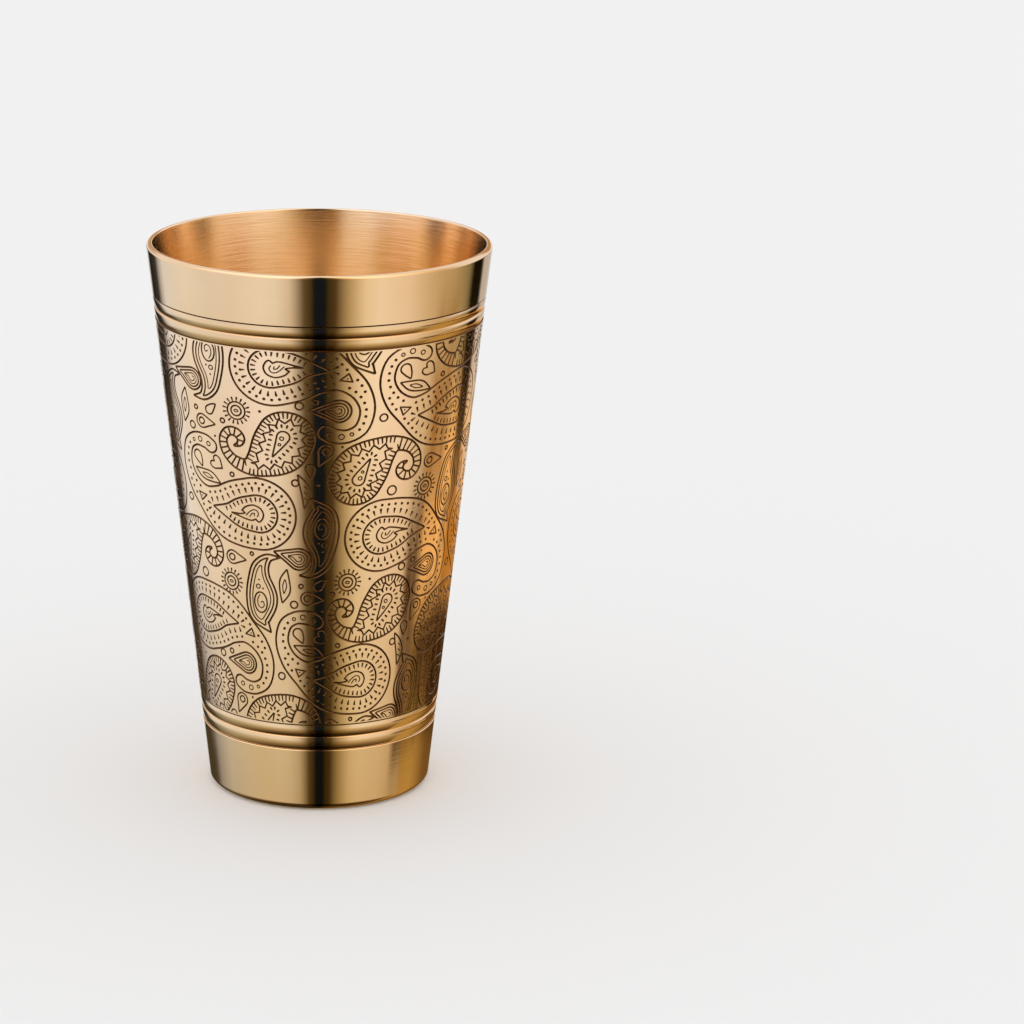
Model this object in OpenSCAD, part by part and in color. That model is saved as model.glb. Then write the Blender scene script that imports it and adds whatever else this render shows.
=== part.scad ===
// Tapered brass lassi tumbler, standing on its foot. Millimetres, +Z up.
// The origin is the middle of the standing ring, on the surface that the tumbler stands on.

/* [Overall size] */
// Height from the standing ring to the lip
height = 150; // [110:1:180]
// Outside diameter across the lip
top_d = 92; // [80:1:110]
// Outside diameter that the cone reaches at the standing ring
base_d = 60; // [54:1:70]

/* [Wall] */
// Thickness of the metal, measured level
wall_t = 1.6; // [1.2:0.1:2.4]
// Radius of the lip's outer corner
lip_round = 1; // [0.4:0.1:1.1]
// Radius of the lip's inner corner
lip_inner_round = 0.4; // [0.2:0.1:0.5]
// Radius of the corner between the side and the standing ring
foot_round = 2.3; // [1:0.1:2.6]

/* [Turned bands and beads] */
// Height of the plain band under the lip
rim_band_h = 13.4; // [8:0.1:18]
// Height of the plain band at the foot
base_band_h = 17.7; // [12:0.1:24]
// Height of each of the two beads above the engraved band
upper_bead_h = 3.4; // [2.4:0.1:4]
// Height of each of the two beads below the engraved band
lower_bead_h = 3.8; // [2.4:0.1:4.5]
// How far a bead's lower edge curls in
bead_curl = 0.35; // [0.2:0.05:0.7]
// How far a bead's upper edge leans in
bead_lean = 0.12; // [0:0.02:0.2]
// Width of the scored line above each pair of beads
score_w = 0.4; // [0.2:0.05:0.6]
// Depth of that scored line
score_depth = 0.3; // [0.1:0.05:0.5]

/* [Foot and base] */
// Height of the base disc's underside above the standing ring
base_recess = 3; // [2:0.1:5]
// Thickness of the base disc
base_t = 2; // [1.2:0.1:3]
// Inner radius of the standing ring that the disc rests on
seat_r = 26.4; // [20:0.1:26.4]
// Gap all round between the disc's edge and the wall
disc_gap = 0.05; // [0.02:0.01:0.1]
// Leg of the brazed fillet in the corner under the disc
braze_leg = 1.2; // [0.6:0.1:1.8]

/* [Hidden] */
$fn = 180;
corner_steps = 8;
bead_steps = 10;
bead_crest = 0.65;
curl_power = 2;
lean_power = 2;
base_r = base_d / 2;
slope = (top_d - base_d) / 2 / height;
rim_band_z = height - rim_band_h;
band_top_z = rim_band_z - 2 * upper_bead_h;
band_bottom_z = base_band_h + 2 * lower_bead_h;

// Radius of the outer cone at a height
function outer_r(z) = base_r + slope * z;
// Radius of the inner cone at a height
function inner_r(z) = outer_r(z) - wall_t;

// Points of a quarter round about [r, z], from angle a to angle b
function round_corner(r, z, radius, a, b) =
    [for (i = [0 : corner_steps])
        let (angle = a + (b - a) * i / corner_steps)
        [r + radius * cos(angle), z + radius * sin(angle)]];

// How far in from the cone a bead's surface lies at a share t of its height, bottom 0 to top 1
function bead_offset(t) =
    t < bead_crest
        ? -bead_curl * pow(1 - t / bead_crest, curl_power)
        : -bead_lean * pow((t - bead_crest) / (1 - bead_crest), lean_power);

// One bead's outline, from its curled lower edge at z up to its leaning upper edge
function bead(z, h) =
    [for (i = [0 : bead_steps])
        let (t = i / bead_steps)
        [outer_r(z + t * h) + bead_offset(t), z + t * h]];

// A scored V whose upper edge is at z
function score(z) =
    [[outer_r(z - score_w / 2) - score_depth, z - score_w / 2], [outer_r(z), z]];

// Outer outline of the wall, from the standing ring up to the lip
function outer_side() = concat(
    [[seat_r, 0]],
    round_corner(outer_r(foot_round) - foot_round, foot_round, foot_round, -90, 0),
    [[outer_r(base_band_h), base_band_h]],
    bead(base_band_h, lower_bead_h),
    bead(base_band_h + lower_bead_h, lower_bead_h - score_w),
    score(band_bottom_z),
    [[outer_r(band_top_z), band_top_z]],
    bead(band_top_z, upper_bead_h),
    bead(band_top_z + upper_bead_h, upper_bead_h - score_w),
    score(rim_band_z),
    round_corner(outer_r(height) - lip_round, height - lip_round, lip_round, 0, 90));

// Inner outline of the wall, from the lip down to the seat for the disc
function inner_side() = concat(
    round_corner(inner_r(height) + lip_inner_round, height - lip_inner_round,
                 lip_inner_round, 90, 180),
    [[inner_r(base_recess), base_recess], [seat_r, base_recess]]);

// Tapered wall with its lip, bands, beads and the standing ring turned in at the foot
module wall() {
    color([0.86, 0.70, 0.42])
        rotate_extrude()
            polygon(concat(outer_side(), inner_side()));
}

// Round floor of the cup: its tapered edge drops into the wall and rests on the standing ring
module base_disc() {
    color([0.80, 0.60, 0.33])
        translate([0, 0, base_recess])
            cylinder(h = base_t,
                     r1 = inner_r(base_recess) - disc_gap,
                     r2 = inner_r(base_recess + base_t) - disc_gap);
}

// Fillet of brazing metal in the corner between the standing ring and the disc's underside
module braze_ring() {
    color([0.72, 0.62, 0.40])
        rotate_extrude()
            polygon([[seat_r, base_recess],
                     [seat_r - braze_leg, base_recess],
                     [seat_r, base_recess - braze_leg]]);
}

wall();
base_disc();
braze_ring();
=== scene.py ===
"""Looks of the brass lassi tumbler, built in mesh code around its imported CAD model.

Shapes are worked out in millimetres, with heights above the standing ring, and become metres in
make_piece(). The engraved band is drawn on a flat sheet that wraps round the cup: sheet x runs to the
right from the middle of the front, on a cylinder of radius SHEET_R, and sheet y is the height.
"""
import math

import bpy
import numpy as np
from mathutils import Matrix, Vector
from mathutils.geometry import delaunay_2d_cdt


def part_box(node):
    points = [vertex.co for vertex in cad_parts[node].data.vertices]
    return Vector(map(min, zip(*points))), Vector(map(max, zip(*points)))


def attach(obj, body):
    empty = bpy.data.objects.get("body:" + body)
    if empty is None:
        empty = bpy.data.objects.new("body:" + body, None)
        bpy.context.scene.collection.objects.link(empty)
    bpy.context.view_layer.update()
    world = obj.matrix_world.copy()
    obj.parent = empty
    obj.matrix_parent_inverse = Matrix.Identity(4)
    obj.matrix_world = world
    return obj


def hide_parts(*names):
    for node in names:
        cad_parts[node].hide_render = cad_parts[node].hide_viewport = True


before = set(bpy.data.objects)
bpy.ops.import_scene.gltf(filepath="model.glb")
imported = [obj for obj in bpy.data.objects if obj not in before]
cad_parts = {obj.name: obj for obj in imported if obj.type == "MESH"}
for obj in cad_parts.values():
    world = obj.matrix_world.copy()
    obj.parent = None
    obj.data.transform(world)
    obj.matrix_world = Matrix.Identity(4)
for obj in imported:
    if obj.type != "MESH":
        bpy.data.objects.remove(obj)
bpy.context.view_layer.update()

# ---------------------------------------------------------------- sizes

MM = 0.001
FULL_TURN = 2 * math.pi
QUARTER_TURN = math.pi / 2
SEGMENTS = 240

_, wall_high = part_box("wall")
disc_low, disc_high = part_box("base_disc")
braze_low, braze_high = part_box("braze_ring")

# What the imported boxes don't give repeats the part's own values
HEIGHT = wall_high.z / MM
TOP_R = wall_high.x / MM
FOOT_R = 30.0
SLOPE = (TOP_R - FOOT_R) / HEIGHT
LEAN = math.atan(SLOPE)
WALL_T = 1.6
LIP_ROUND = 1.0
LIP_INNER_ROUND = 0.4
FOOT_ROUND = 2.3
SEAT_R = braze_high.x / MM
SEAT_Z = disc_low.z / MM

RIM_BAND_Z = 136.6
UPPER_BEAD_H = 3.4
LOWER_BEAD_H = 3.8
FOOT_BAND_Z = 17.7
BAND_TOP = RIM_BAND_Z - 2 * UPPER_BEAD_H
BAND_BOTTOM = FOOT_BAND_Z + 2 * LOWER_BEAD_H
BEAD_CURL = 0.35
BEAD_LEAN = 0.12
BEAD_CREST = 0.65
SCORE_W = 0.4
SCORE_DEPTH = 0.3
LEDGE_ROUND = 0.22

SHEET_R = 38.0
# Half widths of the engraved strokes, and the shape of the groove along them
BOLD = 0.29
FINE = 0.24
THIN = 0.17
GROOVE_SLOPE = 0.7
GROOVE_DEEPEST = 0.2
GROOVE_LEAST = 0.03
PLAIN_MARGIN = 0.3
THINNEST_BODY = 0.08
POINTED_R = 0.15
SHARPEST_TIP = 0.95
MERGE_WITHIN = 1e-7
BORDER_WITHIN = 1e-4
TINY = 1e-12


def outer_r(z):
    return FOOT_R + SLOPE * z


def inner_r(z):
    return outer_r(z) - WALL_T


# ---------------------------------------------------------------- curves on the sheet

def smooth(knots, step=0.45):
    """A curve through the knots. Each knot is x, y and any further values, which are smoothed too."""
    k = np.array(knots, float)
    k = np.vstack([2 * k[0] - k[1], k, 2 * k[-1] - k[-2]])
    runs = []
    for a, b, c, d in zip(k, k[1:], k[2:], k[3:]):
        count = max(2, int(math.dist(b[:2], c[:2]) / step))
        t = np.arange(count)[:, None] / count
        bend = c - a + t * (2 * a - 5 * b + 4 * c - d + t * (3 * (b - c) + d - a))
        runs.append(b + 0.5 * t * bend)
    return np.vstack(runs + [k[-2:-1]])


def arc(centre, radius, start, end, step=0.3):
    count = max(2, int(abs(end - start) * radius / step))
    angle = np.linspace(start, end, count)
    return centre + radius * np.c_[np.cos(angle), np.sin(angle)]


def ring(x, y, radius, high=None):
    """A closed circle, or an ellipse when its half height is given."""
    count = max(9, int(20 * math.sqrt(radius)))
    angle = np.linspace(0, FULL_TURN, count + 1)
    return np.c_[x + radius * np.cos(angle), y + (high or radius) * np.sin(angle)]


def open_outline(body, inset=0.0):
    """The outline of a body, which is a spine of x, y and radius, drawn inset from its edge: up its
    right side, round its first end and down its left side."""
    body = body[body[:, 2] - inset > THINNEST_BODY]
    middle = body[:, :2]
    radius = body[:, 2:] - inset
    step = np.gradient(middle, axis=0)
    length = np.hypot(*step.T)[:, None]
    along = step / length
    across = np.c_[-along[:, 1], along[:, 0]]
    tip = np.clip(-np.gradient(radius, axis=0) / length, -SHARPEST_TIP, SHARPEST_TIP)
    spread = np.sqrt(1 - tip ** 2)
    left = middle + radius * (tip * along + spread * across)
    right = middle + radius * (tip * along - spread * across)
    return np.vstack([right[::-1], cap(middle[0], right[0], left[0], radius[0, 0]), left])


def outline(body, inset=0.0):
    """The closed outline of a body."""
    path = open_outline(body, inset)
    *centre, radius = body[body[:, 2] - inset > THINNEST_BODY][-1]
    return np.vstack([path, cap(np.array(centre), path[-1], path[0], radius - inset), path[:1]])


def cap(centre, begin, finish, radius):
    """The round end between the two sides of an outline, or its point where the body is thin."""
    if radius < POINTED_R:
        return centre[None]
    a = math.atan2(*(begin - centre)[::-1])
    b = math.atan2(*(finish - centre)[::-1])
    return arc(centre, radius, a, a - (a - b) % FULL_TURN)[1:-1]


def stations(path, gap, phase=0.0, count=None, ahead_by=0.05):
    """Evenly spaced points along a path, and the unit vectors to its right there."""
    run = np.r_[0, np.cumsum(np.hypot(*np.diff(path, axis=0).T))]
    count = count or max(1, round(run[-1] / gap))
    at = (np.arange(count) + phase) * run[-1] / count
    here, ahead = (
        np.c_[np.interp(s % run[-1], run, path[:, 0]), np.interp(s % run[-1], run, path[:, 1])]
        for s in (at, at + ahead_by)
    )
    tangent = (ahead - here) / np.hypot(*(ahead - here).T)[:, None]
    return here, np.c_[tangent[:, 1], -tangent[:, 0]]


# ---------------------------------------------------------------- strokes: points and half widths

def line(path, half=BOLD):
    return [(path, np.full(len(path), half))]


def dots(points, radius):
    return [(np.array([p]), np.array([radius])) for p in points]


def apart(points, gap):
    """The points that keep at least a gap from those before them."""
    kept = []
    for p in points:
        if all(math.dist(p, q) > gap for q in kept):
            kept.append(p)
    return kept


def dashes(path, gap, length, thick=0.3, thin=0.15):
    """Short wedges that point to the right of a path."""
    starts, inward = stations(path, gap)
    widths = np.array([thick, thin])
    return [(np.array([p, p + length * n]), widths) for p, n in zip(starts, inward)]


def placed(strokes, x, y, turn=0, scale=1.0):
    c = math.cos(math.radians(turn)) * scale
    s = math.sin(math.radians(turn)) * scale
    spin = np.array([[c, s], [-s, c]])
    return [(path @ spin + (x, y), half) for path, half in strokes]


# ---------------------------------------------------------------- motifs

PAISLEY = smooth([(0, 0, 10), (-4.5, -0.5, 9.2), (-9.2, -0.8, 7.4), (-15.7, 1.4, 4), (-20.5, 5.2, 2.55),
                  (-22.8, 10.5, 1.85), (-21.8, 15.7, 1.7), (-18.6, 18, 1.7), (-15, 18, 1.9),
                  (-13, 17, 1.9)])
TIP_POINTS = 18
WEDGE_PLACE = (-17.6, 2.4)
WEDGE_CLEAR = 2.1
NARROW_CURL = 1.9
PAISLEY_CORE = smooth([(0, 0, 5.2), (-4, -0.3, 4.3), (-8.3, -0.4, 2.2), (-13.7, 0.2, 0.1)])
CURL = smooth([(0, 0, 7), (-1.7, -3, 6.9), (-5.5, -6.6, 4.4), (-9.5, -8.8, 2.2), (-13.5, -7.9, 1.55),
               (-16.1, -5.3, 1.25), (-16.7, -2.1, 1.1), (-15.1, 0.2, 1.1), (-12.8, 0.2, 1.15),
               (-11.5, -1.4, 1), (-12.1, -2.9, 0.6), (-13.5, -3.5, 0.15)])
CURL_FIELD = smooth([(0, 0, 5.3), (-1.7, -3, 5.1), (-5, -6.3, 2.9), (-8.2, -8.2, 1)])
CURL_CORE = smooth([(-0.6, 0.1, 1.6), (-1.6, -2, 1.05), (-3.4, -5.4, 0.1)])
LEAF = smooth([(5.8, 11.8, 0.1), (2.5, 11.3, 1.1), (0.3, 8.5, 2.3), (-0.2, 5, 3.2), (0.2, 0, 4.6),
               (-0.4, -4, 3.6), (0.1, -6.5, 1.9), (2.5, -9.6, 0.1)])


def flame():
    """The flame in the middle of a dotted paisley."""
    head = smooth([(-4.2, 0.3), (-2.8, 1.7), (-0.2, 2.5), (2.1, 1.6), (3, -0.3), (2.4, -2.1),
                   (1.3, -2.9), (0.4, -2)])
    tail = smooth([(-4.2, 0.3), (-3.1, -0.4), (-5, -0.9), (-7.9, -0.9), (-5.4, -1.6), (-3, -2.3),
                   (-1, -2.6), (0.4, -2)])
    tongue = smooth([(-2.8, -1.1), (-1.7, 0.1), (-0.3, 1), (0.9, 0.8), (1.4, -0.3), (0.9, -1.2)])
    lick = smooth([(-1.6, -1.4), (-0.8, -0.3), (0.1, -0.2), (-0.1, -1)])
    return line(head, FINE) + line(tail, FINE) + line(tongue, THIN) + line(lick, THIN)


def wedge_mark():
    """The small triangle with a dot where a paisley narrows."""
    corners = np.array([(-1.5, 0.9), (1.5, 0.4), (-0.6, -1.4), (-1.5, 0.9)])
    return line(corners, FINE) + dots([(-0.3, 0)], 0.25)


def dotted_paisley():
    strokes = line(outline(PAISLEY)) + line(outline(PAISLEY_CORE))
    spots = apart(stations(outline(PAISLEY[:-TIP_POINTS], 1.5), 1.9)[0], 1.5)
    strokes += dots([p for p in spots if math.dist(p, WEDGE_PLACE) > WEDGE_CLEAR], 0.43)
    for x, y, radius in ((-19.2, 17.6, 0.45), (-16.7, 18.2, 0.7), (-13.8, 17.4, 0.6)):
        strokes += line(ring(x, y, radius), THIN)
    strokes += dashes(outline(PAISLEY_CORE, -2.1), 2, 1.1, 0.36, 0.14)
    strokes += dashes(open_outline(PAISLEY_CORE[PAISLEY_CORE[:, 2] > 1.8], 0.75), 1.4, 0.9, 0.3, 0.2)
    strokes += placed(flame(), -1.1, 0.2, 0, 0.85)
    return strokes + placed(wedge_mark(), *WEDGE_PLACE)


def triple_drop():
    body = smooth([(0, 0, 3), (-2.4, 0.7, 1.9), (-6.6, 1.8, 0.1)])
    tongue = smooth([(-2.8, 0.9), (-1.4, 0.4), (-0.6, -0.6), (0.5, -0.5), (0.7, 0.4), (0, 0.7)])
    return (line(outline(body)) + line(outline(body, 0.8), FINE) + line(outline(body, 1.55), THIN)
            + line(tongue, THIN))


def heart():
    half = smooth([(0, -1.8), (-1.6, 0), (-1.5, 1.4), (-0.6, 1.6), (0, 0.9)])
    return line(half, FINE) + line(half * (-1, 1), FINE)


def eye_leaf():
    body = smooth([(-4.6, 0.9, 0.1), (-1.5, 0.1, 1.3), (1.4, 0, 1.4), (4.6, -0.9, 0.1)])
    inner = smooth([(-1.8, 0.2, 0.1), (0, 0, 0.55), (2, -0.3, 0.1)])
    return line(outline(body), FINE) + line(outline(inner), THIN)


def moon_leaf():
    body = smooth([(-1.3, 4.7, 0.1), (-0.1, 2.2, 0.9), (0.7, -0.8, 1.1), (0.2, -4.4, 0.1)])
    strokes = line(outline(body), FINE) + line(ring(-2, 2.5, 0.9), FINE)
    for y in (1.6, 0, -1.6):
        strokes += line(np.array([(0.2, y), (1, y - 0.7)]), THIN)
    return strokes


def ring_drop():
    body = smooth([(0, 0, 1.9), (1.6, -0.1, 1.2), (4.2, -0.3, 0.1)])
    return line(outline(body), FINE) + line(ring(-0.1, 0, 0.9), FINE)


def small_drop():
    return line(outline(smooth([(0, 0, 1.2), (0.9, 0.9, 0.8), (2, 1.8, 0.1)])), FINE)


def sun():
    strokes = line(ring(0, 0, 2.4), FINE) + line(ring(0, 0, 1.4), FINE)
    strokes += line(ring(0, 0, 0.55, 0.35), THIN)
    return strokes + dashes(ring(0, 0, 3.6)[::-1], 1.35, 0.7, 0.28, 0.2)


def leaf():
    comma = smooth([(-0.3, 0.7), (-1, -0.6), (-0.9, -2.3), (0.1, -3), (0.9, -2.2), (0.6, -1.1),
                    (-0.1, -1.4)])
    strokes = line(outline(LEAF)) + line(outline(LEAF, 1), FINE) + line(outline(LEAF, 1.9), THIN)
    strokes += line(ring(-0.1, -1.4, 1.9, 2.9), FINE) + line(comma, THIN)
    return strokes + line(ring(-0.6, 3.1, 0.6), THIN) + dots([(-0.3, 5), (0.8, 2.6)], 0.3)


def curl_paisley():
    strokes = line(outline(CURL)) + line(outline(CURL_CORE), FINE)
    strokes += dashes(open_outline(CURL[CURL[:, 2] > NARROW_CURL], 0.25), 1.15, 1.4, 0.25, 0.2)
    strokes += dashes(outline(CURL_CORE, -1.7), 1.45, 0.55, 0.32, 0.26)
    strokes += line(zigzag(outline(CURL_FIELD), 1.4, 15), FINE)
    strokes += line(ring(-1, -0.3, 0.5), THIN) + line(ring(-1.6, -2, 0.35), THIN)
    return strokes + rungs(CURL[CURL[:, 2] <= NARROW_CURL])


def zigzag(path, depth, teeth):
    """A closed zigzag whose teeth point to the right of a path."""
    corners = np.empty((2 * teeth + 1, 2))
    points, inward = stations(path, 1, 0.5, teeth)
    corners[:-1:2] = stations(path, 1, 0, teeth)[0]
    corners[1::2] = points + depth * inward
    corners[-1] = corners[0]
    return corners


def rungs(body, reach=0.8):
    """Short lines across a narrow body, like a ladder's, that reach a share of its half width."""
    tangent = np.gradient(body[:, :2], axis=0)
    tangent /= np.hypot(*tangent.T)[:, None]
    across = np.c_[-tangent[:, 1], tangent[:, 0]] * body[:, 2:] * reach
    ends = [np.array([p - a, p + a]) for p, a in zip(body[1:-2:3, :2], across[1:-2:3])]
    return [stroke for path in ends for stroke in line(path, FINE)]


def hook_leaves():
    """What the hook of one dotted paisley holds, in that paisley's own place."""
    return (placed(small_drop(), -18.2, 13.6, 255, 1.15) + placed(heart(), -11.4, 12.4, 55, 1.1)
            + placed(eye_leaf(), -15.1, 8.5, -8, 0.95))


def hook_drop():
    """What the hook of the other dotted paisley holds."""
    strokes = placed(triple_drop(), -16, 11.2, 194)
    return strokes + line(ring(-10.5, 8.6, 0.7), FINE) + dots([(-13.5, 6.7)], 0.3)


# ---------------------------------------------------------------- the engraved sheet

CELL = [
    (dotted_paisley, -16, 84.5, 0), (hook_leaves, -16, 84.5, 0),
    (dotted_paisley, 16.6, 78.4, 180), (hook_drop, 16.6, 78.4, 180),
    (curl_paisley, 20, 59.8, 0), (curl_paisley, -45.7, 69, 180),
    (leaf, -16.5, 61, 0), (leaf, 0.6, 79.9, 180),
    (triple_drop, -5.4, 72.6, 0), (eye_leaf, -9.5, 64.8, -88), (moon_leaf, -4, 91.4, 0),
    (sun, 7.6, 66, 0), (sun, -25.7, 64.3, 0),
    (ring_drop, -3.2, 61.5, 0), (ring_drop, -24.7, 71.3, 0), (ring_drop, 29.7, 56.2, -110),
    (small_drop, -0.4, 65, 0), (small_drop, 25.8, 51.4, 230),
]
CELL_RINGS = [(-5, 65, 0.6), (-7, 59.7, 1), (3.5, 62.7, 0.65), (5.2, 48.1, 0.6), (23.4, 68.6, 1),
              (-11.2, 39, 1), (-36, 65, 1.25), (-18.5, 73.1, 0.5)]
CELL_SPOTS = [(13.8, 66.5, 0.42), (0.8, 58, 0.38), (27.8, 47, 0.5), (-21.2, 31.7, 0.38)]
STEP_DOWN = np.array([28.1, -46.5])
STEP_SIDE = np.array([54.8, 25.7])
ONCE_ROUND = 2 * STEP_DOWN + 3 * STEP_SIDE
BAND_MIDDLE = (BAND_BOTTOM + BAND_TOP) / 2
BAND_HALF = (BAND_TOP - BAND_BOTTOM) / 2
REPEATS = range(-6, 7)
STROKE_REACH = 12


def cell():
    """The strokes of one repeat of the pattern."""
    strokes = []
    for motif, x, y, turn in CELL:
        strokes += placed(motif(), x, y, turn)
    for x, y, radius in CELL_RINGS:
        strokes += line(ring(x, y, radius), FINE)
    for x, y, radius in CELL_SPOTS:
        strokes += dots([(x, y)], radius)
    return strokes


def sheet():
    """Every stroke round the cup. The repeats are true to size in front, and away from the front
    they stretch a little, so that ONCE_ROUND takes the pattern exactly once round the cup."""
    half = ONCE_ROUND[0] / 2 / SHEET_R
    spare = half - math.sin(half)
    one = cell()
    strokes = []
    for down in REPEATS:
        for side in REPEATS:
            move = down * STEP_DOWN + side * STEP_SIDE
            for path, width in one:
                path = path + move
                x, y = path.mean(axis=0)
                if abs(x) <= half * SHEET_R and abs(y - BAND_MIDDLE) < BAND_HALF + STROKE_REACH:
                    turn = path[:, 0] / SHEET_R
                    extra = (turn - np.sin(turn)) / spare
                    across = SHEET_R * (turn + (math.pi - half) * extra)
                    up = path[:, 1] - ONCE_ROUND[1] / 2 * extra
                    strokes.append((np.c_[across, up], width))
    return strokes


# ---------------------------------------------------------------- from strokes to a mesh

# The grid over the sheet, and how far beyond a stroke's edge its distance is worked out
COLUMNS = 2400
ROWS = 1046
COLUMN = FULL_TURN * SHEET_R / COLUMNS
ROW = (BAND_TOP - BAND_BOTTOM) / (ROWS - 1)
REACH = 0.35
FAR = 9.0


def stroke_field(strokes):
    """On a grid over the sheet, how far each place is from the nearest stroke's edge. It is below 0
    inside a stroke."""
    field = np.full((ROWS, COLUMNS), FAR)
    for path, half in strokes:
        if len(path) == 1:
            path, half = np.repeat(path, 2, axis=0), np.repeat(half, 2)
        for p, q, a, b in zip(path, path[1:], half, half[1:]):
            low = np.minimum(p, q) - max(a, b) - REACH
            high = np.maximum(p, q) + max(a, b) + REACH
            columns = np.arange(math.floor(low[0] / COLUMN), math.ceil(high[0] / COLUMN) + 1)
            first = max(0, math.floor((low[1] - BAND_BOTTOM) / ROW))
            last = min(ROWS, math.ceil((high[1] - BAND_BOTTOM) / ROW) + 1)
            if first >= last:
                continue
            x = columns * COLUMN - p[0]
            y = (BAND_BOTTOM + np.arange(first, last) * ROW - p[1])[:, None]
            step = q - p
            t = np.clip((x * step[0] + y * step[1]) / max(step @ step, TINY), 0, 1)
            gap = np.hypot(x - t * step[0], y - t * step[1]) - a - (b - a) * t
            window = np.ix_(np.arange(first, last), columns % COLUMNS)
            field[window] = np.minimum(field[window], gap)
    up = np.arange(ROWS) * ROW
    edge = PLAIN_MARGIN - np.minimum(up, up[-1] - up)
    return np.maximum(field, edge[:, None])


def field_at(field, points):
    """The field between its grid places."""
    x = points[:, 0] / COLUMN
    y = np.clip((points[:, 1] - BAND_BOTTOM) / ROW, 0, ROWS - 1.001)
    column, row = np.floor(x).astype(int), y.astype(int)
    u, v = x - column, y - row
    left, right = column % COLUMNS, (column + 1) % COLUMNS
    low = field[row, left] * (1 - u) + field[row, right] * u
    high = field[row + 1, left] * (1 - u) + field[row + 1, right] * u
    return low * (1 - v) + high * v


# The sides (0 bottom, 1 right, 2 top, 3 left) where an outline enters and leaves a grid square, for
# each set of corners inside a stroke: 1 bottom left, 2 bottom right, 4 top right, 8 top left
CROSSINGS = {1: [(0, 3)], 2: [(1, 0)], 3: [(1, 3)], 4: [(2, 1)], 5: [(0, 3), (2, 1)], 6: [(2, 0)],
             7: [(2, 3)], 8: [(3, 2)], 9: [(0, 2)], 10: [(1, 0), (3, 2)], 11: [(1, 2)],
             12: [(3, 1)], 13: [(0, 1)], 14: [(3, 0)]}


def groove_edges(field):
    """Closed loops on the sheet where the field is 0."""
    inside = field < 0
    beside = np.roll(inside, -1, axis=1)
    corners = (inside + 2 * beside)[:-1] + (4 * beside + 8 * inside)[1:]
    places = ROWS * COLUMNS
    following = {}
    for case, pairs in CROSSINGS.items():
        row, column = np.nonzero(corners == case)
        here = row * COLUMNS + column
        sides = (here, places + row * COLUMNS + (column + 1) % COLUMNS, here + COLUMNS, places + here)
        for enter, leave in pairs:
            following.update(zip(sides[enter].tolist(), sides[leave].tolist()))
    loops = []
    while following:
        start, here = following.popitem()
        loop = [start]
        while here != start:
            loop.append(here)
            here = following.pop(here)
        loops.append(crossing_points(field, np.array(loop), places))
    return loops


def crossing_points(field, sides, places):
    """Sheet points on grid edges: numbers below places are level edges, the rest upright ones."""
    upright = sides >= places
    row, column = np.divmod(np.where(upright, sides - places, sides), COLUMNS)
    near = field[row, column]
    far_row = np.where(upright, np.minimum(row + 1, ROWS - 1), row)
    far_column = np.where(upright, column, (column + 1) % COLUMNS)
    share = near / (near - field[far_row, far_column])
    x = np.unwrap(column + np.where(upright, 0, share), period=COLUMNS)
    y = row + np.where(upright, share, 0)
    return np.c_[x * COLUMN, BAND_BOTTOM + y * ROW]


def thinned(path, tolerance, longest):
    """The path with only the points that it needs to stay within the tolerance."""
    keep = np.zeros(len(path), bool)
    keep[[0, -1]] = True
    spans = [(0, len(path) - 1)]
    while spans:
        a, b = spans.pop()
        if b - a < 2:
            continue
        chord = path[b] - path[a]
        away = path[a + 1:b] - path[a]
        length = np.hypot(*chord)
        off = np.hypot(*away.T)
        if length > tolerance:
            off = abs(chord[0] * away[:, 1] - chord[1] * away[:, 0]) / length
        k = int(off.argmax())
        if off[k] > tolerance or b - a > longest:
            middle = a + 1 + k if off[k] > tolerance else (a + b) // 2
            keep[middle] = True
            spans += [(a, middle), (middle, b)]
    return path[keep]


def thinned_loop(loop, tolerance=0.04, longest=26):
    closed = np.vstack([loop, loop[:1]])
    half = int(np.hypot(*(closed - closed[0]).T).argmax())
    first = thinned(closed[:half + 1], tolerance, longest)
    second = thinned(closed[half:], tolerance, longest)
    return np.vstack([first[:-1], second[:-1]])


def groove_bottoms(strokes, field, gap=0.8, inside=0.1):
    """Runs of points along the middle of each stroke, where the groove is deepest."""
    runs = []
    for path, half in strokes:
        run = np.r_[0, np.cumsum(np.hypot(*np.diff(path, axis=0).T))]
        at = np.linspace(0, run[-1], max(1, round(run[-1] / gap)) + 1) if len(path) > 1 else run
        points = np.c_[np.interp(at, run, path[:, 0]), np.interp(at, run, path[:, 1])]
        deep = (points[:, 1] > BAND_BOTTOM) & (points[:, 1] < BAND_TOP)
        deep &= field_at(field, points) < -inside
        for start, end in stretches(deep):
            runs.append(points[start:end])
    return runs


def stretches(flags):
    """(start, end) of each stretch of true values."""
    edges = np.flatnonzero(np.diff(np.r_[0, flags.astype(int), 0]))
    return zip(edges[::2], edges[1::2])


def ground_points(field, gap=1.7, clear=0.45):
    """Loose points on the plain ground, so that its triangles follow the cup's round side."""
    x = np.arange(0, COLUMNS, round(gap / COLUMN))
    y = np.arange(round(gap / ROW), ROWS - round(gap / ROW), round(gap / ROW))
    column, row = (a.ravel() for a in np.meshgrid(x, y))
    open_ground = field[row, column] > clear
    return np.c_[column * COLUMN, BAND_BOTTOM + row * ROW][open_ground]


def to_annulus(points):
    """Sheet points laid on a flat ring about the origin, where the sheet's two ends meet."""
    angle = points[:, 0] / SHEET_R
    radius = np.exp((points[:, 1] - BAND_BOTTOM) / SHEET_R)
    return radius[:, None] * np.c_[np.cos(angle), np.sin(angle)]


def from_annulus(points):
    """Points of the flat ring laid back on the sheet."""
    x = np.arctan2(points[:, 1], points[:, 0]) * SHEET_R
    return np.c_[x, BAND_BOTTOM + np.log(np.hypot(*points.T)) * SHEET_R]


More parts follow.
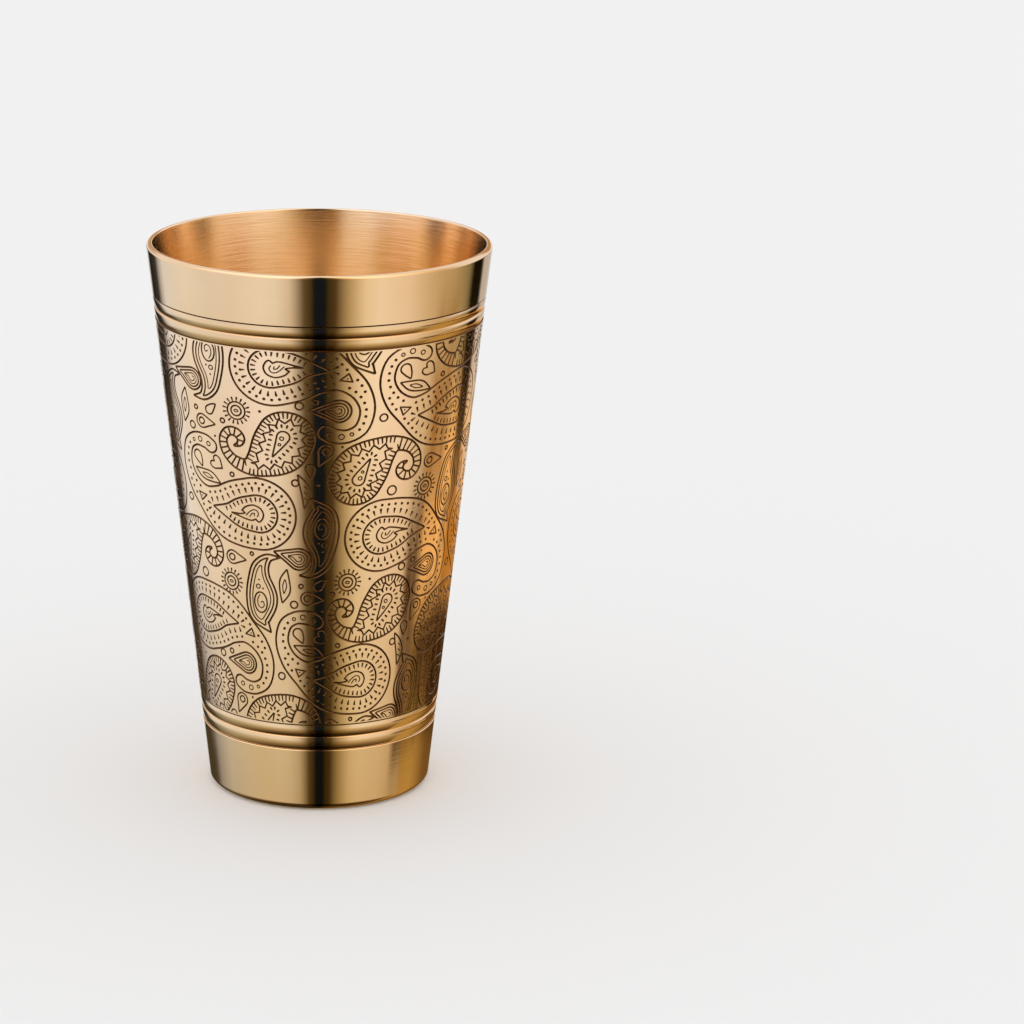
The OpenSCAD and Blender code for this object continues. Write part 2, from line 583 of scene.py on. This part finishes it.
def chained(loops, runs):
    """Pairs of point numbers along every closed loop and then along every open run."""
    pairs = []
    count = 0
    for path, closed in [(path, True) for path in loops] + [(path, False) for path in runs]:
        number = count + np.arange(len(path))
        pairs += zip(number[:-1].tolist(), number[1:].tolist())
        if closed:
            pairs.append((int(number[-1]), int(number[0])))
        count += len(path)
    return pairs


def engraved_band():
    """The engraved band: sheet points, depths, triangles, whether each triangle is in a groove, and
    for each point its number on the bottom border (from 0) or top border (from SEGMENTS), or -1."""
    strokes = sheet()
    field = stroke_field(strokes)
    loops = [thinned_loop(loop) for loop in groove_edges(field)]
    loops = [loop for loop in loops if len(loop) > 2]
    runs = groove_bottoms(strokes, field)
    border_x = np.arange(SEGMENTS) * FULL_TURN * SHEET_R / SEGMENTS
    borders = [np.c_[border_x, np.full(SEGMENTS, z)] for z in (BAND_BOTTOM, BAND_TOP)]

    points = to_annulus(np.vstack(borders + loops + runs + [ground_points(field)]))
    made = delaunay_2d_cdt(points.tolist(), chained(borders + loops, runs), [], 0, MERGE_WITHIN, True)
    points = np.array([tuple(v) for v in made[0]])
    sheet_points = from_annulus(points)
    no_border = 2 * SEGMENTS
    border = np.array([min(source, default=no_border) for source in made[3]])
    border[border >= no_border] = -1

    triangles = np.array(made[2])
    above = sheet_points[:, 1] > BAND_BOTTOM + BORDER_WITHIN
    triangles = triangles[above[triangles].any(axis=1)][:, ::-1]
    in_groove = field_at(field, from_annulus(points[triangles].mean(axis=1))) < 0
    depth = np.clip(-field_at(field, sheet_points) * GROOVE_SLOPE, 0, GROOVE_DEEPEST)
    depth[depth < GROOVE_LEAST] = 0
    return sheet_points, depth, triangles, in_groove, border


# ---------------------------------------------------------------- turned profiles

def corner(r, z, radius, start, end, steps=6):
    """Points of a round corner about (r, z), between two angles."""
    angle = np.linspace(start, end, steps + 1)
    return np.c_[r + radius * np.cos(angle), z + radius * np.sin(angle)]


def side_corner(z, radius, start, end, offset=0.0, steps=8):
    """A round corner that meets the sloping side. Its centre is at height z, inside the surface."""
    return corner(outer_r(z) + offset - radius / math.cos(LEAN), z, radius, start, end, steps)


def bead(z, height, steps=10):
    """One bead, from its curled lower edge at z to its upper edge, which turns over a sharp ledge."""
    t = np.linspace(0, 1, steps + 1)
    offset = np.where(t < BEAD_CREST, -BEAD_CURL * np.maximum(0, 1 - t / BEAD_CREST) ** 2,
                      -BEAD_LEAN * np.maximum(0, (t - BEAD_CREST) / (1 - BEAD_CREST)) ** 2)
    return np.c_[outer_r(z + t * height) + offset, z + t * height]


def ledge(z, offset=0.0):
    """The rounded upper edge of a band or bead that ends at z."""
    return side_corner(z - LEDGE_ROUND, LEDGE_ROUND, -LEAN, QUARTER_TURN, offset, 4)


def level_strip_painted_shade(z, edge_r):
    """The level strip from an edge at z in to the bead above it. It takes the dark groove patina as
    painted shade: the dark line in the corner under the bead.
    """
    return np.array([(edge_r, z), (outer_r(z) - BEAD_CURL, z)]), "groove"


def below(points, z, margin=1e-6):
    return points[points[:, 1] < z - margin]


def bead_pair(z, height):
    """Runs of the two beads and their ledges, and the lower side of the score line above them."""
    edge = ledge(z + height, -BEAD_LEAN)
    first = np.vstack([below(bead(z, height), z + height - LEDGE_ROUND), edge])
    second = bead(z + height, height - SCORE_W)
    score = score_edge(z + 2 * height)
    return [(first, "outside"), level_strip_painted_shade(z + height, edge[-1, 0]), (second, "outside"),
            (np.vstack([second[-1:], score[:1]]), "groove")]


def score_edge(z):
    """The upper side of a scored line whose upper edge is at z."""
    return np.array([(outer_r(z - SCORE_W / 2) - SCORE_DEPTH, z - SCORE_W / 2), (outer_r(z), z)])


def wall_runs():
    """The wall's outline as smooth runs of (radius, height), each with its material. It starts under
    the standing ring and goes up outside, over the lip and down inside. None is the engraved band."""
    foot = side_corner(FOOT_ROUND, FOOT_ROUND, -QUARTER_TURN, -LEAN)
    lip = corner(TOP_R - LIP_ROUND, HEIGHT - LIP_ROUND, LIP_ROUND, -LEAN, QUARTER_TURN)
    mouth = corner(inner_r(HEIGHT) + LIP_INNER_ROUND, HEIGHT - LIP_INNER_ROUND, LIP_INNER_ROUND,
                   QUARTER_TURN, 2 * QUARTER_TURN)
    lower = bead_pair(FOOT_BAND_Z, LOWER_BEAD_H)
    upper = bead_pair(BAND_TOP, UPPER_BEAD_H)
    foot_band = np.vstack([[(SEAT_R, 0)], foot, ledge(FOOT_BAND_Z)])
    seat_edge = (inner_r(SEAT_Z), SEAT_Z)
    return [
        (foot_band, "outside"), level_strip_painted_shade(FOOT_BAND_Z, foot_band[-1, 0]), *lower,
        (score_edge(BAND_BOTTOM), "groove"),
        (None, None),
        level_strip_painted_shade(BAND_TOP, outer_r(BAND_TOP)), *upper,
        (score_edge(RIM_BAND_Z), "groove"),
        (np.vstack([score_edge(RIM_BAND_Z)[-1:], lip, mouth[:1]]), "outside"),
        (np.vstack([mouth, [seat_edge]]), "inside"),
        (np.array([seat_edge, (SEAT_R, SEAT_Z)]), "inside"),
        (np.array([(SEAT_R, SEAT_Z), (SEAT_R, 0)]), "outside"),
    ]


def run_normals(run):
    """Unit normals (radial, up) at the points of a run, smooth along it."""
    tangent = np.vstack([run[1] - run[0], run[2:] - run[:-2], run[-1] - run[-2]])
    tangent /= np.hypot(*tangent.T)[:, None]
    return np.c_[tangent[:, 1], -tangent[:, 0]]


def around(values):
    """Turns (radial, up) rows into x, y, z at every segment. Segment 0 is the middle of the front."""
    angle = np.arange(SEGMENTS) * FULL_TURN / SEGMENTS
    level = values[:, None, :1] * np.c_[np.sin(angle), -np.cos(angle)][None]
    up = np.broadcast_to(values[:, None, 1:], level[:, :, :1].shape)
    return np.concatenate([level, up], axis=2)


class Shape:
    """Vertices, faces, face materials and corner normals that a piece's mesh is made from."""

    def __init__(self):
        self.points, self.faces, self.materials, self.normals = [], [], [], []
        self.count = 0

    def add_points(self, points):
        start = self.count
        self.points.append(points)
        self.count += len(points)
        return start + np.arange(len(points))

    def add_faces(self, faces, material, normals):
        """Faces as rows of vertex numbers, with one normal for each corner of each face."""
        self.faces.append(faces)
        self.materials.append(np.full(len(faces), material))
        self.normals.append(normals)

    def add_ring(self, radius, z):
        """A ring of vertices, or one vertex that stands for them all on the axis."""
        if radius == 0:
            return np.repeat(self.add_points(np.array([(0, 0, z)])), SEGMENTS)
        return self.add_points(around(np.array([(radius, z)]))[0])

    def add_run(self, run, low, high, material):
        """The strip of faces that a run sweeps, from ring low to ring high."""
        rings = [low] + [self.add_ring(*point) for point in run[1:-1]] + [high]
        normals = around(run_normals(run))
        after = np.roll(np.arange(SEGMENTS), -1)
        for a, b, n, m in zip(rings, rings[1:], normals, normals[1:]):
            corners = [(a, n), (a[after], n[after]), (b[after], m[after]), (b, m)]
            if a[0] == a[1]:
                corners.pop(1)
            elif b[0] == b[1]:
                corners.pop(2)
            faces = np.stack([number for number, _ in corners], axis=1)
            self.add_faces(faces, material, np.stack([normal for _, normal in corners], axis=1))

    def add_runs(self, runs, slots, fill=None):
        """Sweeps runs that follow each other. In the place of a run of None, fill(low, high) makes
        the surface between the rings on either side."""
        start = runs[0][0][0]
        first = low = self.add_ring(*start)
        for i, (run, slot) in enumerate(runs):
            end = runs[i + 1][0][0] if run is None else run[-1]
            closes = i == len(runs) - 1 and np.allclose(end, start)
            high = first if closes else self.add_ring(*end)
            if run is None:
                fill(low, high)
            else:
                self.add_run(run, low, high, slots.index(slot))
            low = high


def add_engraving(shape, low, high, ground_slot, groove_slot):
    """Fills the place between two rings with the engraved band."""
    points, depth, triangles, groove, border = engraved_band()
    angle = points[:, 0] / SHEET_R
    radial = np.c_[np.sin(angle), -np.cos(angle)]
    normal = np.c_[radial * math.cos(LEAN), np.full(len(points), -math.sin(LEAN))]
    surface = np.c_[radial * outer_r(points[:, 1])[:, None], points[:, 1]] - normal * depth[:, None]
    number = np.where(border >= 0, np.r_[low, high][border], -1)
    number[border < 0] = shape.add_points(surface[border < 0])
    a, b, c = (surface[triangles[:, k]] for k in range(3))
    facing = np.cross(b - a, c - a)
    facing /= np.maximum(np.linalg.norm(facing, axis=1), TINY)[:, None]
    plain = triangles[~groove]
    shape.add_faces(number[plain], ground_slot, normal[plain])
    shape.add_faces(number[triangles[groove]], groove_slot, np.repeat(facing[groove, None], 3, axis=1))


def make_piece(name, shape, materials):
    """Makes the Blender object of a shape, in metres."""
    mesh = bpy.data.meshes.new(name)
    points = np.vstack(shape.points) * MM
    faces = [face for rows in shape.faces for face in rows.tolist()]
    mesh.from_pydata(points.tolist(), [], faces)
    for material in materials:
        mesh.materials.append(material)
    mesh.polygons.foreach_set("material_index", np.concatenate(shape.materials).astype(np.int32))
    mesh.polygons.foreach_set("use_smooth", np.ones(len(faces), bool))
    mesh.normals_split_custom_set(np.vstack([n.reshape(-1, 3) for n in shape.normals]))
    piece = bpy.data.objects.new(name, mesh)
    bpy.context.scene.collection.objects.link(piece)
    return piece


# ---------------------------------------------------------------- base disc and braze ring

DISC_EDGE = 0.3
RING_DEPTH = 0.02
RING_GAP = 1.9
PLAIN_EDGE = 3
DIMPLE_R = 1.3
UPPER_DIMPLE = 0.35
LOWER_DIMPLE = 0.25
BRAZE_HOLLOW = 0.2
BRAZE_WAVE = 0.1


def turned_face(radius, z, dimple, up, count=60):
    """A turned flat face from the axis out: shallow rings, and the dimple left by the lathe's
    centre. up is 1 for a face that looks up and -1 for one that looks down."""
    r = np.linspace(0, radius, count)
    rings = RING_DEPTH * np.cos(r * FULL_TURN / RING_GAP) * np.clip((radius - r) / PLAIN_EDGE, 0, 1)
    hollow = dimple * np.exp(-(r / DIMPLE_R) ** 2)
    return np.c_[r, z - up * (hollow + RING_DEPTH - rings)]


def disc_runs():
    """The disc's outline from the middle of its underside, out, up its edge and in over the top."""
    low_z, high_z = disc_low.z / MM, disc_high.z / MM
    high_r = disc_high.x / MM
    low_r = high_r - SLOPE * (high_z - low_z)
    under = turned_face(low_r - DISC_EDGE, low_z, LOWER_DIMPLE, -1)
    top = turned_face(high_r - DISC_EDGE, high_z, UPPER_DIMPLE, 1)[::-1]
    side = np.array([(low_r, low_z + DISC_EDGE), (high_r, high_z - DISC_EDGE)])
    runs = [under, np.vstack([under[-1:], side[:1]]), side, np.vstack([side[1:], top[:1]]), top]
    return [(run, "brushed") for run in runs]


def braze_runs():
    """The brazed fillet: two faces that lie against the disc and the ring, and the hollow one."""
    leg = SEAT_Z - braze_low.z / MM
    t = np.linspace(0, 1, 11)
    hollow = BRAZE_HOLLOW * np.sin(math.pi * t)
    face = np.c_[SEAT_R - leg * (1 - t) + hollow, SEAT_Z - leg * t + hollow]
    back = np.array([(SEAT_R, SEAT_Z)])
    runs = [np.vstack([back, face[:1]]), face, np.vstack([face[-1:], back])]
    return [(run, "braze") for run in runs]


def make_uneven(shape, amount):
    """Moves a shape's points up and down in slow waves round the ring, as brazing metal runs."""
    points = np.vstack(shape.points)
    angle = np.arctan2(points[:, 1], points[:, 0])
    wave = np.sin(5 * angle) + 0.7 * np.sin(11 * angle + 1) + 0.5 * np.sin(23 * angle + 2)
    depth = SEAT_Z - points[:, 2] + SEAT_R - np.hypot(points[:, 0], points[:, 1])
    points[:, 2] += amount * wave * np.clip(depth, 0, 1) / 2
    shape.points = [points]


# ---------------------------------------------------------------- materials

BRUSHED_ROUND = 0.25
FIRST_COLOUR, SECOND_COLOUR, MIXED_COLOUR = 6, 7, 2


def node(tree, kind, values=None, **settings):
    """Adds a shader node. values fills its input sockets by name, with links where they are sockets."""
    made = tree.nodes.new(kind)
    for key, value in settings.items():
        setattr(made, key, value)
    for key, value in (values or {}).items():
        if isinstance(value, bpy.types.NodeSocket):
            tree.links.new(value, made.inputs[key])
        else:
            made.inputs[key].default_value = value
    return made


def new_material(name):
    material = bpy.data.materials.new(name)
    material.use_nodes = True
    material.node_tree.nodes.clear()
    return material, material.node_tree


def object_coordinates(tree, scale):
    """Object coordinates in metres, stretched by a scale for each axis."""
    coordinates = node(tree, "ShaderNodeTexCoord").outputs["Object"]
    return node(tree, "ShaderNodeMapping", {"Vector": coordinates, "Scale": scale}).outputs[0]


def noise(tree, vector, scale=1.0, detail=3.0, roughness=0.55):
    values = {"Vector": vector, "Scale": scale, "Detail": detail, "Roughness": roughness}
    return node(tree, "ShaderNodeTexNoise", values).outputs["Fac"]


def ramp(tree, factor, stops):
    """A colour or number that changes with a factor. Stops are (position, colour or number)."""
    made = node(tree, "ShaderNodeValToRGB", {"Fac": factor})
    elements = made.color_ramp.elements
    while len(elements) < len(stops):
        elements.new(0.5)
    for element, (position, value) in zip(elements, stops):
        element.position = position
        element.color = (*value, 1) if hasattr(value, "__len__") else (value, value, value, 1)
    return made.outputs["Color"]


def blend(tree, how, factor, first, second):
    """Two colours combined by a Mix node, whose colour sockets have to be found by number."""
    values = {0: factor, FIRST_COLOUR: first, SECOND_COLOUR: second}
    made = node(tree, "ShaderNodeMix", values, data_type="RGBA", blend_type=how)
    return made.outputs[MIXED_COLOUR]


def bump(tree, height, strength, distance):
    values = {"Height": height, "Strength": strength, "Distance": distance}
    return node(tree, "ShaderNodeBump", values).outputs["Normal"]


def metal(tree, colour, roughness, normal, anisotropic=0.0):
    """A metal surface. An anisotropic one is brushed round the cup."""
    values = {"Base Color": colour, "Roughness": roughness, "Normal": normal, "Metallic": 1.0,
              "Anisotropic": anisotropic, "Anisotropic Rotation": BRUSHED_ROUND}
    if anisotropic:
        tangent = node(tree, "ShaderNodeTangent", direction_type="RADIAL", axis="Z")
        values["Tangent"] = tangent.outputs[0]
    shader = node(tree, "ShaderNodeBsdfPrincipled", values)
    node(tree, "ShaderNodeOutputMaterial", {"Surface": shader.outputs[0]})


def polished_brass(name, duller, brighter):
    """Pale gold for the outside, with faint cloudy tarnish and fine turning lines."""
    material, tree = new_material(name)
    cloud = noise(tree, object_coordinates(tree, (40, 40, 40)), detail=4)
    lines = noise(tree, object_coordinates(tree, (20, 20, 3000)), detail=2)
    colour = ramp(tree, cloud, [(0.3, duller), (0.7, brighter)])
    haze = noise(tree, object_coordinates(tree, (90, 90, 400)), detail=5)
    roughness = ramp(tree, haze, [(0.3, 0.05), (0.75, 0.09)])
    metal(tree, colour, roughness, bump(tree, lines, 0.01, 0.0002))
    return material


def brushed_brass():
    """The inside: warmer, and brushed round and round, with broken streaks."""
    material, tree = new_material("brushed_brass")
    streaks = noise(tree, object_coordinates(tree, (90, 90, 2200)), detail=4, roughness=0.6)
    colour = ramp(tree, streaks, [(0.35, (0.87, 0.67, 0.42)), (0.6, (0.94, 0.74, 0.49))])
    roughness = ramp(tree, streaks, [(0.3, 0.09), (0.7, 0.16)])
    metal(tree, colour, roughness, bump(tree, streaks, 0.15, 0.0002), anisotropic=0.85)
    return material


def patina_and_corner_shade():
    """Dark oxide left in the engraved lines. On the level strips under the beads the same dark colour
    is painted shade, the dark line in each corner.
    """
    material, tree = new_material("patina_and_corner_shade")
    grain = noise(tree, object_coordinates(tree, (1500, 1500, 1500)), detail=4)
    roughness = ramp(tree, grain, [(0.3, 0.28), (0.7, 0.45)])
    metal(tree, (0.125, 0.06, 0.02, 1), roughness, bump(tree, grain, 0.25, 0.0001))
    return material


def disc_brass():
    """The floor of the cup, with turning rings about its middle."""
    material, tree = new_material("disc_brass")
    middle = object_coordinates(tree, (1, 1, 0))
    radius = node(tree, "ShaderNodeVectorMath", {0: middle}, operation="LENGTH").outputs["Value"]
    rings = node(tree, "ShaderNodeTexNoise", {"W": radius, "Scale": 2600.0, "Detail": 4.0},
                 noise_dimensions="1D").outputs["Fac"]
    cloud = noise(tree, object_coordinates(tree, (60, 60, 60)), detail=4)
    colour = ramp(tree, cloud, [(0.3, (0.74, 0.50, 0.25)), (0.7, (0.84, 0.60, 0.33))])
    metal(tree, colour, ramp(tree, rings, [(0.3, 0.24), (0.7, 0.4)]), bump(tree, rings, 0.15, 0.0003))
    return material


def braze_metal():
    """The paler brazing metal, dull from the flame and pitted."""
    material, tree = new_material("braze_metal")
    cloud = noise(tree, object_coordinates(tree, (300, 300, 300)), detail=5)
    colour = ramp(tree, cloud, [(0.3, (0.42, 0.33, 0.19)), (0.7, (0.72, 0.60, 0.38))])
    metal(tree, colour, ramp(tree, cloud, [(0.3, 0.55), (0.7, 0.35)]), bump(tree, cloud, 0.3, 0.0004))
    return material


def pale_floor():
    material, tree = new_material("pale_floor")
    values = {"Base Color": (0.9, 0.9, 0.9, 1), "Roughness": 0.9}
    shader = node(tree, "ShaderNodeBsdfPrincipled", values)
    node(tree, "ShaderNodeOutputMaterial", {"Surface": shader.outputs[0]})
    return material


# ---------------------------------------------------------------- pieces

def build_wall():
    shape = Shape()
    slots = ["outside", "inside", "groove", "ground"]
    outside = polished_brass("polished_brass", (0.84, 0.60, 0.33), (0.88, 0.65, 0.38))
    # The engraved ground is a lighter copy of the same brass: painted brightness that stands in for the
    # brighter light its ground reflects.
    ground = polished_brass("engraved_ground_painted_bright", (0.93, 0.69, 0.43), (0.97, 0.74, 0.47))

    def fill(low, high):
        add_engraving(shape, low, high, slots.index("ground"), slots.index("groove"))

    shape.add_runs(wall_runs(), slots, fill)
    piece = make_piece("tumbler_wall", shape, [outside, brushed_brass(), patina_and_corner_shade(), ground])
    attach(piece, "root")
    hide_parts("wall")


def build_disc():
    shape = Shape()
    shape.add_runs(disc_runs(), ["brushed"])
    piece = make_piece("tumbler_base_disc", shape, [disc_brass()])
    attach(piece, "root")
    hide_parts("base_disc")


def build_braze():
    shape = Shape()
    shape.add_runs(braze_runs(), ["braze"])
    make_uneven(shape, BRAZE_WAVE)
    piece = make_piece("tumbler_braze_ring", shape, [braze_metal()])
    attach(piece, "root")
    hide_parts("braze_ring")


# ---------------------------------------------------------------- floor, light and camera

# What polished metal sees all round, as (degrees to the right from the front, colour)
PANELS = [
    (-180, (0.80, 0.80, 0.80)), (-168, (0.75, 0.75, 0.75)), (-161, (0.01, 0.01, 0.01)),
    (-145, (0.05, 0.045, 0.04)), (-138, (0.53, 0.54, 0.62)), (-132, (0.80, 0.86, 1.02)),
    (-105, (0.92, 0.97, 1.13)), (-84, (0.87, 0.90, 1.04)), (-63, (0.88, 0.87, 0.96)),
    (-42, (0.95, 0.95, 1.07)), (-31, (0.91, 0.93, 1.03)), (-21, (0.77, 0.72, 0.73)),
    (-11, (0.13, 0.10, 0.05)), (-5.5, (0.06, 0.04, 0.02)), (-4, (0.008, 0.012, 0.02)),
    (4, (0.008, 0.012, 0.02)), (5.5, (0.05, 0.035, 0.012)), (11, (0.09, 0.06, 0.025)),
    (21, (0.55, 0.45, 0.29)), (32, (0.92, 0.84, 0.74)), (42, (0.98, 0.92, 0.88)),
    (63, (0.92, 0.81, 0.75)), (84, (0.69, 0.57, 0.42)), (105, (0.53, 0.42, 0.26)),
    (122, (0.28, 0.24, 0.14)), (130, (0, 0, 0)), (141, (0, 0, 0)), (147, (0.58, 0.54, 0.54)),
    (161, (0.55, 0.52, 0.49)), (172, (0.72, 0.70, 0.68)), (180, (0.80, 0.78, 0.76)),
]
# How the panels change with height, as (degrees above the horizon, colour)
PANEL_HEIGHTS = [
    (-90, (0.04, 0.025, 0.01)), (-52, (0.06, 0.04, 0.015)), (-44, (0.28, 0.20, 0.10)),
    (-37, (0.52, 0.43, 0.26)), (-31, (0.74, 0.68, 0.51)), (-28, (0.82, 0.78, 0.66)),
    (-25, (1, 1, 1)), (-5, (1, 1, 1)), (8, (1.15, 1.05, 1.05)), (18, (1.15, 1.05, 1.05)),
    (35, (1.6, 1.55, 1.5)), (90, (1.8, 1.7, 1.6)),
]
# Cards that stand before the panels, from the back to the front, as (colour, how much shows by
# azimuth, how much by level, how little shows between its patches). A level is the height plus
# LEVEL_SLOPE for each degree away from the front, because that runs level round the sides of the cup.
LEVEL_SLOPE = -0.1
CARDS = [
    # Warm card low on the right, and a darker one before it
    ((0.52, 0.33, 0.10), [(-180, 0), (91, 0), (95, 1), (167, 1), (172, 0), (180, 0)],
     [(-90, 0.3), (-55, 1), (-35, 1), (-34, 0), (90, 0)], 1),
    ((0.19, 0.095, 0.024), [(-180, 0), (112, 0), (138, 0.9), (150, 1), (167, 1), (172, 0), (180, 0)],
     [(-90, 1), (-35, 1), (-34, 0), (90, 0)], 1),
    # Dark strip, then an orange one above it with a deeper orange part at its far end
    ((0.03, 0.012, 0.004), [(-180, 0), (90, 0), (98, 0.8), (106, 1), (167, 1), (172, 0), (180, 0)],
     [(-90, 0), (-37.2, 0), (-36.7, 1), (-35.1, 1), (-34.6, 0), (90, 0)], 0.7),
    ((1.0, 0.60, 0.25), [(-180, 0), (90, 0), (96, 1), (167, 1), (172, 0), (180, 0)],
     [(-90, 0), (-35, 0), (-34.5, 1), (-32.4, 1), (-31, 0), (90, 0)], 0.25),
    ((0.5, 0.2, 0.02), [(-180, 0), (126, 0), (134, 1), (167, 1), (172, 0), (180, 0)],
     [(-90, 0), (-35, 0), (-34.5, 1), (-33.4, 1), (-32.9, 0), (90, 0)], 0.6),
    # Brown edge of the orange card, high up and lower down
    ((0.34, 0.18, 0.06), [(-180, 0), (88, 0), (95, 1), (110, 1), (116, 0), (180, 0)],
     [(-90, 0), (-33.4, 0), (-32.9, 1), (-31.5, 1), (-30.5, 0), (90, 0)], 0.6),
    ((0.08, 0.03, 0.007), [(-180, 0), (76, 0), (82, 1), (92, 1), (98, 0), (180, 0)],
     [(-90, 0), (-37.2, 0), (-36.8, 1), (-33.3, 1), (-32.7, 0), (90, 0)], 0.7),
    # Black upright strip near the right edge
    ((0.01, 0.008, 0.004), [(-180, 0), (126, 0), (132, 1), (141, 1), (146, 0), (180, 0)],
     [(-90, 0), (-33.4, 0), (-32.8, 1), (90, 1)], 0.8),
    # Faint gold on the left, and a dark card low down at the left edge
    ((0.70, 0.60, 0.35), [(-180, 0), (-130, 0), (-110, 0.3), (-60, 0.25), (-42, 0), (180, 0)],
     [(-90, 0), (-36.8, 0), (-36.3, 1), (-31.2, 1), (-30.7, 0), (90, 0)], 1),
    ((0.07, 0.055, 0.03), [(-180, 0), (-168, 0), (-160, 1), (-145, 1), (-134, 0.93), (-126, 0.65),
                           (-105, 0.32), (-80, 0.1), (-65, 0), (180, 0)],
     [(-90, 1), (-37.3, 1), (-33.8, 0), (90, 0)], 1),
    # Pale ceiling behind the cup, for the lip, and a warm stripe for the inside's back wall
    ((0.98, 0.94, 1.03), [(-180, 1), (-110, 1), (-90, 0), (90, 0), (110, 1), (180, 1)],
     [(-90, 0), (-27, 0), (-17, 1), (90, 1)], 1),
    ((0.52, 0.3, 0.12), [(-180, 0.95), (-165, 0.8), (-146, 0.5), (-130, 0), (145, 0), (156, 1),
                         (180, 0.95)],
     [(-90, 0), (-13, 0), (-10, 1), (2, 1), (8, 0), (90, 0)], 1),
]
PATCH_SCALE = (11, 11, 75)
PATCH_EDGES = (0.44, 0.52)
EVEN_WHITE = 0.98


def arithmetic(tree, how, *values):
    """A Math node's result. Its inputs are numbered."""
    return node(tree, "ShaderNodeMath", dict(enumerate(values)), operation=how).outputs[0]


def panels_and_cards(tree, direction):
    """The colour that polished metal sees in a direction."""
    axes = node(tree, "ShaderNodeSeparateXYZ", {"Vector": direction}).outputs
    azimuth = arithmetic(tree, "ARCTAN2", axes["X"], arithmetic(tree, "MULTIPLY", axes["Y"], -1.0))
    height = arithmetic(tree, "ARCSINE", axes["Z"])
    away = arithmetic(tree, "ABSOLUTE", azimuth)
    level = arithmetic(tree, "MULTIPLY_ADD", away, LEVEL_SLOPE, height)
    turned = share_of(tree, azimuth, math.pi)
    raised = share_of(tree, height, QUARTER_TURN)
    levelled = share_of(tree, level, QUARTER_TURN)
    stretched = node(tree, "ShaderNodeMapping", {"Vector": direction, "Scale": PATCH_SCALE})
    patches = noise(tree, stretched.outputs[0])
    seen = blend(tree, "MULTIPLY", 1.0, angle_ramp(tree, turned, PANELS, 360),
                 angle_ramp(tree, raised, PANEL_HEIGHTS, 180))
    for colour, by_azimuth, by_level, least in CARDS:
        share = blend(tree, "MULTIPLY", 1.0, angle_ramp(tree, turned, by_azimuth, 360),
                      angle_ramp(tree, levelled, by_level, 180))
        patch = ramp(tree, patches, list(zip(PATCH_EDGES, (least, 1.0))))
        share = blend(tree, "MULTIPLY", 1.0, share, patch)
        seen = blend(tree, "MIX", share, seen, (*colour, 1))
    return seen


def studio_world():
    """Soft panels round the cup for its reflections, and even white for the floor and background."""
    world = bpy.data.worlds.new("studio")
    bpy.context.scene.world = world
    world.use_nodes = True
    world.cycles.sampling_method = "NONE"
    tree = world.node_tree
    tree.nodes.clear()
    direction = node(tree, "ShaderNodeTexCoord").outputs["Generated"]
    seen = panels_and_cards(tree, direction)
    panels = node(tree, "ShaderNodeBackground", {"Color": seen, "Strength": 1.0}).outputs[0]
    values = {"Color": (1, 1, 1, 1), "Strength": EVEN_WHITE}
    even = node(tree, "ShaderNodeBackground", values).outputs[0]
    glossy = node(tree, "ShaderNodeLightPath").outputs["Is Glossy Ray"]
    mixed = node(tree, "ShaderNodeMixShader", {"Fac": glossy, 1: even, 2: panels}).outputs[0]
    node(tree, "ShaderNodeOutputWorld", {"Surface": mixed})


def angle_ramp(tree, share, stops, span):
    """A ramp whose stops are in degrees, over a span that is centred on 0."""
    return ramp(tree, share, [(0.5 + degrees / span, value) for degrees, value in stops])


def share_of(tree, angle, largest):
    """Where an angle lies between minus and plus the largest, from 0 to 1."""
    values = {"Value": angle, "From Min": -largest, "From Max": largest}
    return node(tree, "ShaderNodeMapRange", values).outputs["Result"]


def floor():
    bpy.ops.mesh.primitive_plane_add(size=40)
    plane = bpy.context.object
    plane.name = "floor"
    plane.data.materials.append(pale_floor())
    plane.visible_glossy = False


def soft_light():
    """A wide soft light overhead, which shades the floor under the cup."""
    lamp = bpy.data.objects.new("overhead", bpy.data.lights.new("overhead", "AREA"))
    lamp.data.size = 1.5
    lamp.data.energy = 3.0
    lamp.location = (-0.5, -0.4, 1.6)
    lamp.rotation_euler = (-lamp.location).to_track_quat("Z", "Y").to_euler()
    lamp.visible_glossy = False
    bpy.context.scene.collection.objects.link(lamp)


def camera():
    yaw, pitch, roll = 0.0534, 0.2732, 0.0153
    turned = Matrix.Rotation(-yaw, 4, "Z") @ Matrix.Rotation(QUARTER_TURN - pitch, 4, "X")
    eye = bpy.data.objects.new("camera", bpy.data.cameras.new("camera"))
    eye.data.lens = 131.5
    eye.data.sensor_width = 36
    eye.matrix_world = (Matrix.Translation((0, -0.9786, 0.3497)) @ turned
                        @ Matrix.Rotation(roll, 4, "Z"))
    bpy.context.scene.collection.objects.link(eye)
    bpy.context.scene.camera = eye


build_wall()
build_disc()
build_braze()
studio_world()
floor()
soft_light()
camera()
bpy.context.scene.view_settings.view_transform = "Standard"
